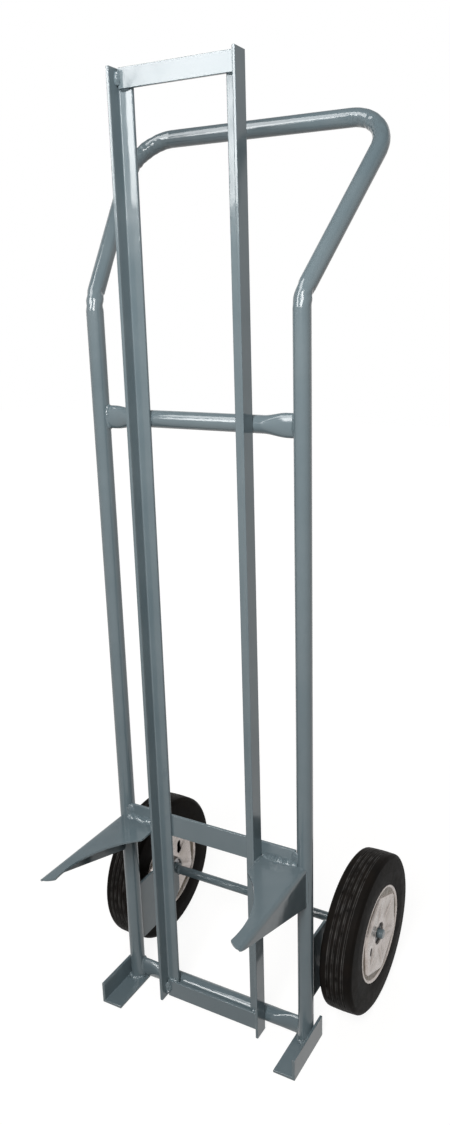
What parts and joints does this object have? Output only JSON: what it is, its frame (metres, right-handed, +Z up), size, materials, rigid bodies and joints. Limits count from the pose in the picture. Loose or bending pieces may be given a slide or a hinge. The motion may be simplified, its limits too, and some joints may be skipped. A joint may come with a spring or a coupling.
{
  "type": "pail hand truck",
  "caption": "Upright hand truck for round pails: bent tube frame with a loop handle, two angle rails, two hollowed prongs that go under a pail's rim, and solid ribbed wheels on an axle",
  "frame": {"origin": "on the floor, at the middle of the footprint's bounding box", "axes": "+Z up, +X to the right of someone who faces the load side, -Y towards the load"},
  "size_m": [0.492, 0.4813, 1.4573],
  "materials": {
    "grey_enamel": "glossy blue-grey enamel over welded steel",
    "tyre_rubber": "black solid rubber",
    "silver_paint": "silver-grey paint on pressed steel",
    "hub_steel": "plain steel tube",
    "bearing_steel": "ground bearing steel",
    "zinc_plate": "bright zinc plate"
  },
  "bodies": {
    "frame": {"frame_tube": "grey_enamel", "upper_cross_tube": "grey_enamel", "lower_cross_tube": "grey_enamel", "top_bar": "grey_enamel", "middle_bar": "grey_enamel", "bottom_bar": "grey_enamel", "axle": "grey_enamel", "left_rail": "grey_enamel", "left_prong": "grey_enamel", "left_foot": "grey_enamel", "left_axle_bracket": "grey_enamel", "right_rail": "grey_enamel", "right_prong": "grey_enamel", "right_foot": "grey_enamel", "right_axle_bracket": "grey_enamel", "left_spacer": "grey_enamel", "left_washer": "zinc_plate", "left_cotter_pin": "zinc_plate", "left_inner_bearing_inner_race": "bearing_steel", "left_outer_bearing_inner_race": "bearing_steel", "right_spacer": "grey_enamel", "right_washer": "zinc_plate", "right_cotter_pin": "zinc_plate", "right_inner_bearing_inner_race": "bearing_steel", "right_outer_bearing_inner_race": "bearing_steel"},
    "left_wheel": {"left_tyre": "tyre_rubber", "left_inner_rim_half": "silver_paint", "left_outer_rim_half": "silver_paint", "left_hub_tube": "hub_steel", "left_inner_bearing_outer_race": "bearing_steel", "left_outer_bearing_outer_race": "bearing_steel"},
    "right_wheel": {"right_tyre": "tyre_rubber", "right_inner_rim_half": "silver_paint", "right_outer_rim_half": "silver_paint", "right_hub_tube": "hub_steel", "right_inner_bearing_outer_race": "bearing_steel", "right_outer_bearing_outer_race": "bearing_steel"}
  },
  "joints": [
    {"name": "left_wheel_spin", "type": "hinge", "parent": "frame", "child": "left_wheel", "pos_m": [-0.2124, 0.1083, 0.1324], "axis": [1, 0, 0], "continuous": true},
    {"name": "right_wheel_spin", "type": "hinge", "parent": "frame", "child": "right_wheel", "pos_m": [0.2124, 0.1083, 0.1324], "axis": [1, 0, 0], "continuous": true}
  ]
}
